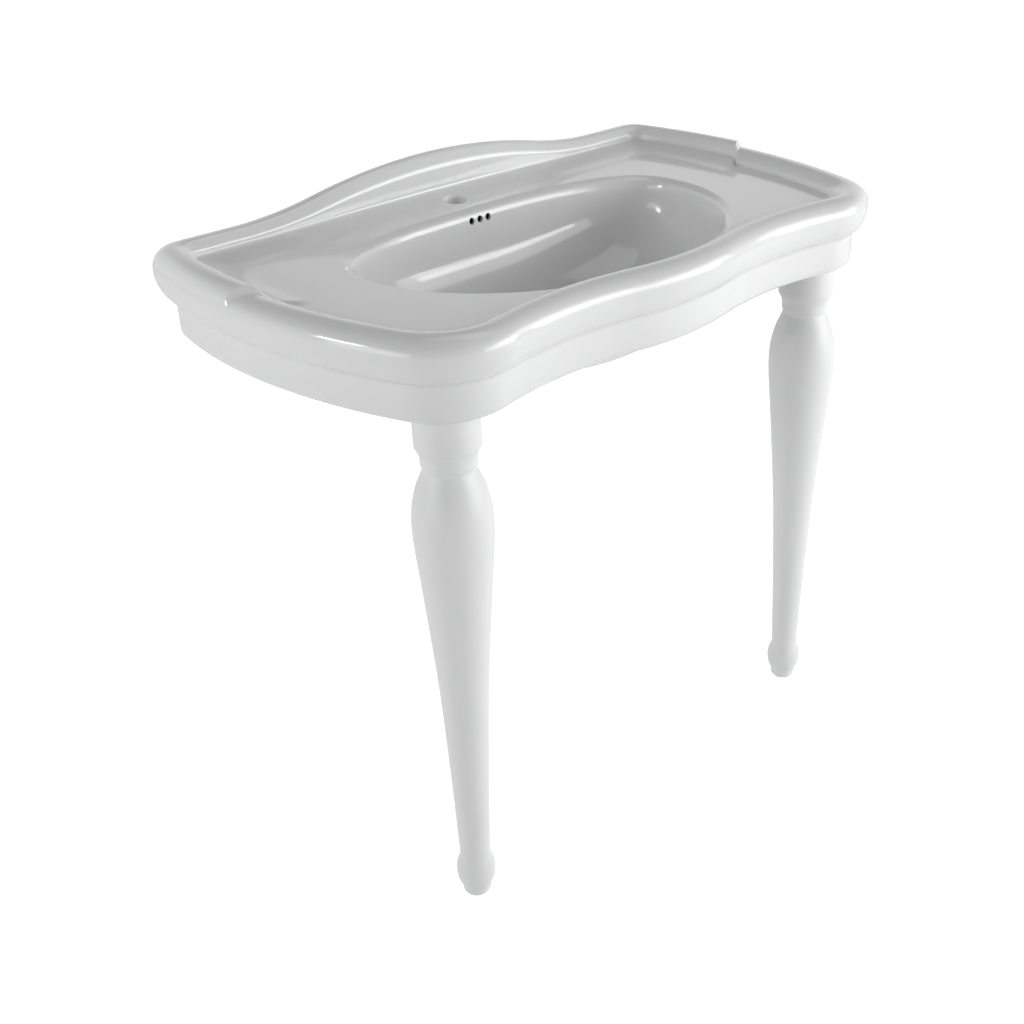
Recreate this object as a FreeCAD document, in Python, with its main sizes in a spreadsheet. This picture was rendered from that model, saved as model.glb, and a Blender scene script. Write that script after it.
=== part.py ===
import FreeCAD, Part
import math
import os

# A console sink: a wide glazed basin with a rolled rim, a humped back gallery and a deep oval bowl.
# It hangs on a wall at the back and stands on two hollow turned-look legs at the front.
# Millimetres. +Z is up, the front faces -Y, the wall face is at +Y, and the feet stand at Z = 0.

os.makedirs("parts", exist_ok=True)
doc = FreeCAD.newDocument("console_sink")
sheet = doc.addObject("Spreadsheet::Sheet", "sizes")

SIZES = [
    # the basin as seen from above
    ("basin_depth", 558),            # wall face to the front of the middle bulge
    ("half_width", 500),             # half of the widest width, over the rolled rim
    ("widest_from_wall", 222),       # where the sides are widest
    ("side_radius", 762),            # the long gentle curve of each side
    ("corner_radius", 114),          # the front corners
    ("corner_set_back", 4),          # how far the corners stop short of the middle bulge
    ("bulge_radius", 447),           # the bulge in the middle of the front
    ("valley_radius", 521),          # the hollow on each side of the bulge
    # heights
    ("skirt_bottom", 763),           # above the floor
    ("skirt_height", 53),            # up to the rolled rim's underside
    ("deck_rise", 40.4),             # from there to the deck
    ("widest_drop", 1.4),            # the roll is widest this far below the deck
    ("rim_rise", 20.2),              # the rolled rim's crest above the deck
    ("gallery_rise", 9.4),           # the gallery's crest above the rolled rim's
    ("hump_rise", 36.7),
    ("hump_half_width", 354),
    # the rolled rim and the gallery, measured inwards from the widest outline
    ("overhang", 20.5),              # how far the roll stands out over the skirt
    ("crest_inset", 27),
    ("rim_foot_inset", 53),
    ("gallery_foot_inset", 49),
    ("ramp_rise", 8.6),              # the sweep up from the deck to the gallery's foot
    ("ramp_inset", 105),
    ("gallery_length", 225),         # how far the raised sides run from the wall, at their widest
    ("notch_slant", 0.5),            # the raised sides end further forward towards the bowl
    # walls
    ("skirt_wall", 17),
    ("deck_thickness", 14),
    ("bowl_wall", 13),
    ("skirt_edge_radius", 8),
    # the bowl
    ("bowl_side_room", 187.3),       # from the widest line to the bowl's lip
    ("bowl_front_room", 55),         # from the middle bulge to the bowl's lip
    ("bowl_middle_from_wall", 251),
    ("bowl_back_reach", 138),
    ("bowl_depth", 154),
    ("bowl_floor_half_width", 96),
    ("bowl_floor_half_depth", 62),
    ("bowl_floor_from_wall", 306),
    ("lip_reach", 23),               # how far the rounded lip runs inwards
    ("lip_drop", 21),                # and how far down
    # the openings in the china
    ("tap_hole_radius", 16),
    ("tap_hole_from_wall", 77),
    ("overflow_hole_radius", 5.1),
    ("overflow_pitch", 16),
    ("overflow_drop", 14.7),         # hole centres below the deck
    ("outlet_radius", 23),
    ("outlet_boss_radius", 34),
    ("outlet_from_wall", 299),
    ("duct_inner_wall", 9),
    ("duct_depth", 9),
    ("duct_wall", 6),
    ("duct_side_room", 6.5),         # beyond the centres of the outer overflow holes
    ("duct_head_room", 0.8),         # above the tops of the overflow holes
    ("wall_hole_radius", 11),
    ("wall_hole_spacing", 280),
    ("wall_hole_rise", 43),          # above the skirt's bottom edge
    # the legs
    ("leg_beside_corner", 17.47),    # from the centre of a front corner's arc outwards to the leg's axis
    ("leg_before_corner", 23),       # and forwards
    ("foot_radius", 20.3),
    ("foot_edge_radius", 2.5),
    ("foot_height", 9),
    ("bead_radius", 27.8),
    ("bead_height", 40.5),
    ("ankle_radius", 21.8),
    ("ankle_height", 71),
    ("shin_radius", 29.9),
    ("shin_height", 292),
    ("knee_radius", 38.6),
    ("knee_height", 428),
    ("shoulder_radius", 49.1),
    ("shoulder_height", 554),
    ("vase_radius", 51.8),
    ("vase_height", 600),
    ("throat_radius", 43.1),
    ("throat_height", 656.6),
    ("neck_radius", 33.7),
    ("neck_height", 680),
    ("collar_radius", 35.8),
    ("collar_bottom", 686),
    ("collar_top", 699),
    ("capital_radius", 42),
    ("capital_bottom", 713),
    ("capital_edge_radius", 3),
    ("leg_wall", 11),
    ("leg_socket_radius", 21),
    ("leg_socket_depth", 55),
    ("leg_floor", 14),
    # the leg fixings
    ("ledge_recess", 10),            # the ledge sits this far above the skirt's bottom edge
    ("ledge_thickness", 18),
    ("ledge_reach", 62),             # from the leg's axis to the ledge's free edges
    ("stud_hole_radius", 9),
    ("stud_radius", 5),
    ("thread_clearance", 0.05),
    ("press_clearance", 0.05),
    ("gasket_thickness", 3),
    ("plug_recess", 4),
    ("plug_length", 32),
    ("stud_below_plug", 10),
    ("stud_above_nut", 9),
    ("anchor_flange_radius", 11),
    ("anchor_flange_thickness", 2),
    ("washer_radius", 20),
    ("washer_clearance", 0.6),
    ("rubber_washer_thickness", 3),
    ("steel_washer_thickness", 2),
    ("nut_across_flats", 16),
    ("nut_height", 8),
    ("foot_pad_thickness", 1.5),
    ("foot_pad_inset", 3),
]
for row, (name, value) in enumerate(SIZES, start=1):
    sheet.set("A%d" % row, name)
    sheet.set("B%d" % row, str(value))
    sheet.setAlias("B%d" % row, name)

# places worked out from the sizes, for the legs and all that stands on their axes
PLACES = [
    ("corner_offset", "=corner_set_back + corner_radius + widest_from_wall - basin_depth"),
    ("corner_reach", "=side_radius - corner_radius"),
    ("corner_across", "=half_width - side_radius + sqrt(corner_reach ^ 2 - corner_offset ^ 2)"),
    ("corner_along", "=corner_set_back + corner_radius - basin_depth / 2"),
    ("leg_across", "=corner_across + leg_beside_corner"),
    ("leg_along", "=corner_along - leg_before_corner"),
]
for row, (name, rule) in enumerate(PLACES, start=1):
    sheet.set("D%d" % row, name)
    sheet.setAlias("E%d" % row, name)
    sheet.set("E%d" % row, rule)
doc.recompute()


def size(name):
    return float(getattr(sheet, name))


Vec = FreeCAD.Vector
WALL_Y = size("basin_depth") / 2
FRONT_Y = -WALL_Y
LEG_X = size("leg_across")
LEG_Y = size("leg_along")
LEDGE_BOTTOM = size("skirt_bottom") + size("ledge_recess")
LEDGE_TOP = LEDGE_BOTTOM + size("ledge_thickness")
LEG_TOP = LEDGE_BOTTOM - size("gasket_thickness")
ROLL_BOTTOM = size("skirt_bottom") + size("skirt_height")
DECK = ROLL_BOTTOM + size("deck_rise")
ROLL_WIDEST = DECK - size("widest_drop")
RIM = DECK + size("rim_rise")
GALLERY = RIM + size("gallery_rise")
RAMP_TOP = DECK + size("ramp_rise")
WALL_HOLE_Z = size("skirt_bottom") + size("wall_hole_rise")
BOWL_Y = WALL_Y - size("bowl_middle_from_wall")
BOWL_HALF_WIDTH = size("half_width") - size("bowl_side_room")
BOWL_FRONT_REACH = BOWL_Y - FRONT_Y - size("bowl_front_room")
BOWL_FLOOR_Y = WALL_Y - size("bowl_floor_from_wall")
OUTLET_Y = WALL_Y - size("outlet_from_wall")
CHANNEL_TOP = DECK - size("overflow_drop") + size("overflow_hole_radius") + size("duct_head_room")
BEYOND = 60.0                        # spare length of a cutting block past what it cuts


def named(label, shape, place=Vec(0, 0, 0)):
    """A finished sub-part whose shape is worked out here from the sheet."""
    piece = doc.addObject("Part::Feature", label)
    piece.Label = label
    piece.Shape = shape
    piece.Placement = FreeCAD.Placement(place, FreeCAD.Rotation())
    return piece


def toward(start, goal, distance):
    """The point at a distance from start on the way to goal."""
    way = goal.sub(start)
    return start.add(way.multiply(distance / way.Length))


def arc_between(centre, start, end, mirror=1):
    """The short arc about a centre, optionally mirrored to the other side."""
    middle = start.add(end).multiply(0.5)
    middle = toward(centre, middle, start.sub(centre).Length)
    flip = [Vec(p.x * mirror, p.y, p.z) for p in (start, middle, end)]
    return Part.Arc(*flip).toShape()


def outline_centres():
    """Centres of the side, corner, valley and bulge arcs on the right half of the plan."""
    side_y = WALL_Y - size("widest_from_wall")
    side = Vec(size("half_width") - size("side_radius"), side_y, 0)
    corner = Vec(size("corner_across"), size("corner_along"), 0)
    bulge = Vec(0, FRONT_Y + size("bulge_radius"), 0)
    to_bulge = size("bulge_radius") + size("valley_radius")
    to_corner = size("corner_radius") + size("valley_radius")
    between = corner.sub(bulge)
    apart = between.Length
    along = (to_bulge ** 2 - to_corner ** 2 + apart ** 2) / (2 * apart)
    aside = math.sqrt(to_bulge ** 2 - along ** 2)
    unit = Vec(between.x / apart, between.y / apart, 0)
    valley = bulge.add(Vec(unit.x * along + unit.y * aside, unit.y * along - unit.x * aside, 0))
    return side, corner, valley, bulge


SIDE, CORNER, VALLEY, BULGE = outline_centres()


def outline(inset, height, back_y):
    """The basin's plan drawn inwards by an inset, closed by a straight line at back_y."""
    lift = Vec(0, 0, height)
    side, corner, valley, bulge = [c.add(lift) for c in (SIDE, CORNER, VALLEY, BULGE)]
    side_radius = size("side_radius") - inset
    back_x = side.x + math.sqrt(side_radius ** 2 - (back_y - side.y) ** 2)
    back = Vec(back_x, back_y, height)
    side_end = toward(side, corner, side_radius)
    corner_end = toward(corner, valley, size("corner_radius") - inset)
    valley_end = toward(bulge, valley, size("bulge_radius") - inset)
    front = Vec(0, FRONT_Y + inset, height)
    runs = [(side, back, side_end), (corner, side_end, corner_end), (valley, corner_end, valley_end)]
    edges = [arc_between(c, a, b, 1) for c, a, b in runs]
    mirrored = Vec(-valley_end.x, valley_end.y, height)
    edges.append(Part.Arc(valley_end, front, mirrored).toShape())
    edges += [arc_between(c, a, b, -1) for c, a, b in reversed(runs)]
    edges.append(Part.makeLine(Vec(-back_x, back_y, height), back))
    return Part.Wire(Part.__sortEdges__(edges))


def slab(inset, low, high, back_y):
    """An upright block on the basin's plan."""
    return Part.Face(outline(inset, low, back_y)).extrude(Vec(0, 0, high - low))


def quarter(start, end, steps, flat_first):
    """Points on a quarter ellipse from start to end, as (inset, height)."""
    points = []
    for step in range(steps + 1):
        turn = math.pi / 2 * step / steps
        a, b = (math.sin(turn), 1 - math.cos(turn)) if flat_first else (1 - math.cos(turn), math.sin(turn))
        points.append((start[0] + (end[0] - start[0]) * a, start[1] + (end[1] - start[1]) * b))
    return points


def roll_profile(top):
    """The rolled rim from under its overhang, round its widest line, up to its crest."""
    under = (size("overhang"), ROLL_BOTTOM)
    widest = (0.0, ROLL_WIDEST)
    crest = (size("crest_inset"), top)
    return quarter(under, widest, 4, True) + quarter(widest, crest, 4, False)[1:]


def rim_tray():
    """The rolled rim all the way round, filled in to the deck."""
    crest = (size("crest_inset"), RIM)
    foot = (size("rim_foot_inset"), DECK)
    profile = roll_profile(RIM) + quarter(crest, foot, 3, True)[1:]
    wires = [outline(inset, height, WALL_Y + BEYOND) for inset, height in profile]
    return Part.makeLoft(wires, True, False)


def gallery_frame():
    """The raised roll along the sides and the wall, with its hollow sweep down to the deck."""
    crest = (size("crest_inset"), GALLERY)
    foot = (size("gallery_foot_inset"), RAMP_TOP)
    shoulder = (0.55 * crest[0] + 0.45 * foot[0], crest[1] - 0.16 * (crest[1] - foot[1]))
    ramp = []
    for part in (0.25, 0.5, 0.75, 1.0):
        inset = foot[0] + (size("ramp_inset") - foot[0]) * part
        ramp.append((inset, DECK + (foot[1] - DECK) * (1 - part) ** 2))
    profile = roll_profile(GALLERY) + [shoulder, foot] + ramp
    wires = []
    for inset, height in profile:
        wires.append(outline(inset, height, WALL_Y - (0 if height < ROLL_WIDEST else inset)))
    frame = Part.makeLoft(wires, True, True)
    wide = 1.2 * size("half_width")
    notch_y = WALL_Y - size("gallery_length")
    wide_y = notch_y + size("notch_slant") * (wide - size("half_width"))
    middle_y = notch_y - size("notch_slant") * size("half_width")
    base = ROLL_BOTTOM
    corners = [Vec(-wide, WALL_Y + BEYOND, base), Vec(-wide, wide_y, base), Vec(0, middle_y, base),
               Vec(wide, wide_y, base), Vec(wide, WALL_Y + BEYOND, base)]
    keep = Part.Face(Part.makePolygon(corners + corners[:1])).extrude(Vec(0, 0, DECK))
    return frame.common(keep)


def hump_height(x):
    """Rise of the gallery's crest: a round top that flows out into the straight roll."""
    rise = size("hump_rise")
    reach = size("hump_half_width")
    slope = 2 * math.atan(rise / reach)
    radii = reach / math.sin(slope)
    top_radius = 0.61 * radii
    foot_radius = radii - top_radius
    x = abs(x)
    if x < top_radius * math.sin(slope):
        return rise - (top_radius - math.sqrt(top_radius ** 2 - x ** 2))
    if x < reach:
        return foot_radius - math.sqrt(foot_radius ** 2 - (reach - x) ** 2)
    return 0.0


def hump():
    """The camel-back rise in the middle of the gallery, lofted along the wall."""
    wires = []
    count = 12
    base = RAMP_TOP - 3
    for step in range(count + 1):
        x = size("hump_half_width") * (2 * step / count - 1)
        top = GALLERY + hump_height(x) - 0.4
        foot_inset = size("gallery_foot_inset")
        crest = size("crest_inset")
        low = RAMP_TOP
        line = [(0, top - 22), (0.29 * crest, top - 6.5), (crest, top), (1.42 * crest, top - 6.0),
                (0.9 * foot_inset, top - 15), (0.99 * foot_inset, 0.45 * (top - 15) + 0.55 * low),
                (1.1 * foot_inset, low)]
        points = [Vec(x, WALL_Y - inset, height) for inset, height in line]
        front = Part.BSplineCurve()
        front.interpolate(points)
        last, first = points[-1], points[0]
        corners = [last, Vec(x, last.y, base), Vec(x, WALL_Y, base), first]
        edges = [front.toShape()] + [Part.makeLine(a, b) for a, b in zip(corners, corners[1:])]
        wires.append(Part.Wire(edges))
    return Part.makeLoft(wires, True, False)


def egg(half_width, front, back, middle_y, height):
    """A closed oval, fuller at the back than at the front, as one smooth curve."""
    points = []
    count = 48
    for step in range(count):
        turn = 2 * math.pi * step / count
        across, along = math.cos(turn), math.sin(turn)
        power = 2 / 2.0 if along < 0 else 2 / 2.5
        reach = front if along < 0 else back
        x = math.copysign(abs(across) ** power, across) * half_width
        y = math.copysign(abs(along) ** power, along) * reach
        points.append(Vec(x, middle_y + y, height))
    curve = Part.BSplineCurve()
    curve.interpolate(points, PeriodicFlag=True)
    return Part.Wire(curve.toShape())


def lip_oval(degrees, rise=0.0):
    """An oval on the bowl's rounded lip, where the lip has turned down by some degrees."""
    turn = math.radians(degrees)
    inset = size("lip_reach") * math.sin(turn)
    drop = size("lip_drop") * (1 - math.cos(turn))
    return egg(BOWL_HALF_WIDTH - inset, BOWL_FRONT_REACH - inset,
               size("bowl_back_reach") - inset, BOWL_Y, DECK - drop + rise)


def bowl_ovals(grow):
    """Ovals of the bowl from its wall down to its floor; grow is the distance outside its face."""
    wide = BOWL_HALF_WIDTH - size("lip_reach") + grow
    front = BOWL_FRONT_REACH - size("lip_reach") + grow
    back = size("bowl_back_reach") - size("lip_reach") + grow
    floor_wide = size("bowl_floor_half_width") + grow / 2
    floor_deep = size("bowl_floor_half_depth") + grow / 2
    fall = size("bowl_depth") + grow - size("lip_drop")
    wires = []
    for degrees in (0, 15, 30, 45, 58, 70, 80, 90):
        turn = math.radians(degrees)
        part = math.sin(turn) ** 0.909
        full = max(math.cos(turn), 0.0) ** 1.25
        wires.append(egg(floor_wide + (wide - floor_wide) * full,
                         floor_deep + (front - floor_deep) * full,
                         floor_deep + (back - floor_deep) * full,
                         BOWL_FLOOR_Y + (BOWL_Y - BOWL_FLOOR_Y) * full,
                         DECK - size("lip_drop") - fall * part))
    return wires


def pod(grow):
    """The body of the bowl, grown outwards, with an upright band up to near the deck."""
    ovals = bowl_ovals(grow)
    band = ovals[0].translated(Vec(0, 0, CHANNEL_TOP + 1.5 - (DECK - size("lip_drop"))))
    return Part.makeLoft([band] + ovals, True, False)


def cylinder(radius, height, x, y, z, direction=Vec(0, 0, 1)):
    return Part.makeCylinder(radius, height, Vec(x, y, z), direction)


def duct_block(side_room, grow, top):
    """The part of a grown bowl that lies behind the outlet, in the overflow's width."""
    half = size("overflow_pitch") + side_room
    block = Part.makeBox(2 * half, size("basin_depth"), DECK, Vec(-half, OUTLET_Y, top - DECK))
    return pod(grow).common(block)


def overflow_cuts():
    """The channel from the three holes down to the outlet, and the holes themselves."""
    inner = size("duct_inner_wall")
    channel = duct_block(size("duct_side_room"), inner + size("duct_depth"), CHANNEL_TOP).cut(pod(inner))
    cuts = [channel]
    wall_y = BOWL_Y + size("bowl_back_reach") - size("lip_reach")
    for place in (-1, 0, 1):
        cuts.append(cylinder(size("overflow_hole_radius"), 2 * inner, place * size("overflow_pitch"),
                             wall_y - inner / 2, DECK - size("overflow_drop"), Vec(0, 1, 0)))
    return cuts


def china_body():
    """Skirt, rolled rim, raised gallery and hump, hollow underneath."""
    back = Part.makeBox(4 * size("half_width"), 4 * BEYOND, 2 * DECK, Vec(-2 * size("half_width"), WALL_Y, 0))
    skirt = slab(size("overhang"), size("skirt_bottom"), ROLL_BOTTOM + 1, WALL_Y + BEYOND)
    shell = skirt.fuse(rim_tray()).cut(back)
    low_edges = [e for e in shell.Edges
                 if e.BoundBox.ZMax < size("skirt_bottom") + 0.01 and e.BoundBox.YMin < WALL_Y - 1]
    shell = shell.makeFillet(size("skirt_edge_radius"), low_edges)
    shell = shell.fuse([gallery_frame(), hump()])
    hollow = slab(size("overhang") + size("skirt_wall"), size("skirt_bottom") - 1,
                  DECK - size("deck_thickness"), WALL_Y - size("skirt_wall"))
    return shell.cut(hollow)


def basin_shape():
    boss_length = size("duct_inner_wall") + size("duct_depth") + size("duct_wall")
    seat = DECK - size("bowl_depth")
    boss = cylinder(size("outlet_boss_radius"), boss_length, 0, OUTLET_Y, seat - boss_length)
    duct = duct_block(size("duct_side_room") + size("duct_wall"), boss_length, DECK - size("deck_thickness") + 1)
    shell = china_body().fuse([pod(size("bowl_wall")), boss, duct] + ledges())
    mouth = Part.makeLoft([lip_oval(18, size("lip_reach")), lip_oval(18)], True, True)
    lip = [lip_oval(degrees) for degrees in (18, 36, 54, 72)]
    cuts = [mouth, Part.makeLoft(lip + bowl_ovals(0), True, False)] + overflow_cuts()
    cuts.append(cylinder(size("outlet_radius"), 2 * boss_length, 0, OUTLET_Y, seat - 1.5 * boss_length))
    cuts.append(cylinder(size("tap_hole_radius"), 4 * size("deck_thickness"), 0,
                         WALL_Y - size("tap_hole_from_wall"), DECK - 2 * size("deck_thickness")))
    for side in (-1, 1):
        cuts.append(cylinder(size("wall_hole_radius"), 3 * size("skirt_wall"),
                             side * size("wall_hole_spacing") / 2, WALL_Y - 2 * size("skirt_wall"),
                             WALL_HOLE_Z, Vec(0, 1, 0)))
        cuts.append(cylinder(size("stud_hole_radius"), 2 * size("ledge_thickness"), side * LEG_X, LEG_Y,
                             LEDGE_BOTTOM - size("ledge_thickness") / 2))
    return shell.cut(cuts)


def ledges():
    """The two corner shelves that rest on the legs, grown into the skirt around them."""
    reach = size("ledge_reach")
    plan = slab(size("overhang") + size("skirt_wall") / 2, LEDGE_BOTTOM, LEDGE_TOP, WALL_Y - size("skirt_wall"))
    shelves = []
    for side in (-1, 1):
        low_x = LEG_X - reach if side > 0 else -LEG_X - 3 * reach
        block = Part.makeBox(4 * reach, 4 * reach, size("ledge_thickness"),
                             Vec(low_x, LEG_Y - 3 * reach, LEDGE_BOTTOM))
        shelves.append(block.common(plan))
    return shelves


def leg_outer_curve():
    """The turned outline of a leg from the foot's bead up to the neck."""
    foot, bead, ankle = size("foot_radius"), size("bead_radius"), size("ankle_radius")
    rise = size("bead_height") - size("foot_height")
    fall = size("ankle_height") - size("bead_height")
    points = [(foot, size("foot_height")),
              (foot + 0.42 * (bead - foot), size("foot_height") + 0.32 * rise),
              (foot + 0.88 * (bead - foot), size("foot_height") + 0.64 * rise),
              (bead, size("bead_height")),
              (bead - 0.3 * (bead - ankle), size("bead_height") + 0.46 * fall),
              (bead - 0.84 * (bead - ankle), size("bead_height") + 0.79 * fall),
              (ankle, size("ankle_height"))]
    points += [(size(part + "_radius"), size(part + "_height"))
               for part in ("shin", "knee", "shoulder", "vase", "throat", "neck")]
    curve = Part.BSplineCurve()
    curve.interpolate([Vec(r, 0, z) for r, z in points], InitialTangent=Vec(0, 0, 1), FinalTangent=Vec(0, 0, 1))
    return curve.toShape()


def leg_inner_curve(top, bottom):
    """The hollow's outline from the socket down to its floor, one wall thickness inside."""
    wall = size("leg_wall")
    points = [(size("leg_socket_radius"), top)]
    points += [(size(part + "_radius") - wall, size(part + "_height"))
               for part in ("vase", "knee", "shin", "ankle")]
    points.append((size("ankle_radius") - wall, bottom))
    curve = Part.BSplineCurve()
    curve.interpolate([Vec(r, 0, z) for r, z in points])
    return curve.toShape()


def leg_shape():
    """A hollow turned leg: the outline and the hollow spun about the leg's axis."""
    base = size("foot_pad_thickness")
    edge, foot = size("foot_edge_radius"), size("foot_radius")
    cap, cap_edge = size("capital_radius"), size("capital_edge_radius")
    slant = math.sqrt(0.5)
    corner = Vec(foot - edge + edge * slant, 0, base + edge - edge * slant)
    cap_corner = Vec(cap - cap_edge + cap_edge * slant, 0, LEG_TOP - cap_edge + cap_edge * slant)
    collar = size("collar_radius")
    cove_in = Vec(collar + 0.62 * (cap - collar), 0,
                  size("collar_top") + 0.52 * (size("capital_bottom") - size("collar_top")))
    socket, socket_bottom = size("leg_socket_radius"), LEG_TOP - size("leg_socket_depth")
    floor = base + size("leg_floor")
    edges = [Part.makeLine(Vec(0, 0, base), Vec(foot - edge, 0, base)),
             Part.Arc(Vec(foot - edge, 0, base), corner, Vec(foot, 0, base + edge)).toShape(),
             Part.makeLine(Vec(foot, 0, base + edge), Vec(foot, 0, size("foot_height"))),
             leg_outer_curve()]
    line = [Vec(size("neck_radius"), 0, size("neck_height")), Vec(collar, 0, size("collar_bottom")),
            Vec(collar, 0, size("collar_top")), cove_in, Vec(cap, 0, size("capital_bottom")),
            Vec(cap, 0, LEG_TOP - cap_edge)]
    edges += [Part.makeLine(a, b) for a, b in zip(line, line[1:])]
    edges.append(Part.Arc(line[-1], cap_corner, Vec(cap - cap_edge, 0, LEG_TOP)).toShape())
    edges += [Part.makeLine(Vec(cap - cap_edge, 0, LEG_TOP), Vec(socket, 0, LEG_TOP)),
              Part.makeLine(Vec(socket, 0, LEG_TOP), Vec(socket, 0, socket_bottom)),
              leg_inner_curve(socket_bottom, floor),
              Part.makeLine(Vec(size("ankle_radius") - size("leg_wall"), 0, floor), Vec(0, 0, floor)),
              Part.makeLine(Vec(0, 0, floor), Vec(0, 0, base))]
    half = Part.Face(Part.Wire(Part.__sortEdges__(edges)))
    return half.revolve(Vec(0, 0, 0), Vec(0, 0, 1), 360)


basin = named("basin", basin_shape())
left_leg = named("left_leg", leg_shape(), Vec(-LEG_X, LEG_Y, 0))
right_leg = named("right_leg", leg_shape(), Vec(LEG_X, LEG_Y, 0))


# Heights of the leg fixings, as sheet expressions.
LEDGE_LOW = "sizes.skirt_bottom + sizes.ledge_recess"
LEDGE_HIGH = LEDGE_LOW + " + sizes.ledge_thickness"
LEG_HIGH = LEDGE_LOW + " - sizes.gasket_thickness"
PLUG_LOW = LEG_HIGH + " - sizes.plug_recess - sizes.plug_length"
RUBBER_HIGH = LEDGE_HIGH + " + sizes.rubber_washer_thickness"
STEEL_HIGH = RUBBER_HIGH + " + sizes.steel_washer_thickness"
STUD_LOW = PLUG_LOW + " - sizes.stud_below_plug"
STUD_HIGH = STEEL_HIGH + " + sizes.nut_height + sizes.stud_above_nut"


def on_leg_axis(kind, label, side, bottom, height, **expressions):
    """A round or hexagonal primitive on a leg's axis, driven by the sheet."""
    piece = doc.addObject(kind, label)
    for prop, text in expressions.items():
        piece.setExpression(prop, text)
    piece.setExpression("Height", height)
    piece.setExpression("Placement.Base.x", "%d * sizes.leg_across" % side)
    piece.setExpression("Placement.Base.y", "sizes.leg_along")
    piece.setExpression("Placement.Base.z", bottom)
    return piece


def disc(label, side, bottom, height, radius):
    return on_leg_axis("Part::Cylinder", label, side, bottom, height, Radius=radius)


def ring(label, side, bottom, height, outer, inner):
    """A flat ring: a disc with a hole through it."""
    cut = doc.addObject("Part::Cut", label)
    cut.Base = disc(label + "_disc", side, bottom, height, outer)
    cut.Tool = disc(label + "_hole", side, bottom, height, inner)
    return cut


def nut(label, side, bottom, height):
    """A hexagon nut with its thread shown as a plain bore."""
    cut = doc.addObject("Part::Cut", label)
    cut.Base = on_leg_axis("Part::Prism", label + "_hexagon", side, bottom, height,
                           Circumradius="sizes.nut_across_flats / 2 / cos(30deg)")
    cut.Tool = disc(label + "_bore", side, bottom, height, "sizes.stud_radius + sizes.thread_clearance")
    return cut


def flanged_nut(label, side):
    """The nut under the plug, with a flange that spreads its pull."""
    join = doc.addObject("Part::Fuse", label)
    join.Base = nut(label + "_nut", side, PLUG_LOW + " - sizes.nut_height", "sizes.nut_height")
    join.Tool = ring(label + "_flange", side, PLUG_LOW + " - sizes.anchor_flange_thickness",
                     "sizes.anchor_flange_thickness", "sizes.anchor_flange_radius",
                     "sizes.stud_radius + sizes.thread_clearance")
    return join


def both(label, make):
    """Two alike pieces, one on each leg, kept as separate solids in one group."""
    group = doc.addObject("Part::Compound", label)
    group.Label = label
    group.Links = [make(label + "_left", -1), make(label + "_right", 1)]
    return group


STUD_FIT = "sizes.stud_radius + sizes.washer_clearance"
GASKET_OUTER = "sizes.capital_radius - sizes.capital_edge_radius"
left_gasket = ring("left_leg_gasket", -1, LEG_HIGH, "sizes.gasket_thickness", GASKET_OUTER, "sizes.leg_socket_radius")
right_gasket = ring("right_leg_gasket", 1, LEG_HIGH, "sizes.gasket_thickness", GASKET_OUTER, "sizes.leg_socket_radius")
plugs = both("leg_anchor_plugs", lambda label, side: ring(
    label, side, PLUG_LOW, "sizes.plug_length", "sizes.leg_socket_radius - sizes.press_clearance",
    "sizes.stud_radius + sizes.thread_clearance"))
studs = both("leg_studs", lambda label, side: disc(
    label, side, STUD_LOW, STUD_HIGH + " - (" + STUD_LOW + ")", "sizes.stud_radius"))
anchor_nuts = both("anchor_nuts", flanged_nut)
rubber_washers = both("ledge_rubber_washers", lambda label, side: ring(
    label, side, LEDGE_HIGH, "sizes.rubber_washer_thickness", "sizes.washer_radius", STUD_FIT))
steel_washers = both("ledge_steel_washers", lambda label, side: ring(
    label, side, RUBBER_HIGH, "sizes.steel_washer_thickness", "sizes.washer_radius", STUD_FIT))
ledge_nuts = both("ledge_nuts", lambda label, side: nut(label, side, STEEL_HIGH, "sizes.nut_height"))
left_pad = disc("left_foot_pad", -1, "0", "sizes.foot_pad_thickness", "sizes.foot_radius - sizes.foot_pad_inset")
right_pad = disc("right_foot_pad", 1, "0", "sizes.foot_pad_thickness", "sizes.foot_radius - sizes.foot_pad_inset")
doc.recompute()

NODES = [basin, left_leg, right_leg, left_gasket, right_gasket, plugs, studs, anchor_nuts,
         rubber_washers, steel_washers, ledge_nuts, left_pad, right_pad]

for item in doc.Objects:
    if "Invalid" in item.State or "Error" in item.State:
        raise RuntimeError("%s did not build: %s" % (item.Label, item.State))
for node in NODES:
    if node.Shape.isNull() or not node.Shape.isValid():
        raise RuntimeError("%s has no valid shape" % node.Label)
for node in NODES:
    node.Shape.exportStep("parts/%s.step" % node.Label)
    print("%-22s solids %d  volume %.1f cm3" % (node.Label, len(node.Shape.Solids), node.Shape.Volume / 1000))
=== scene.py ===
import math

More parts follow.
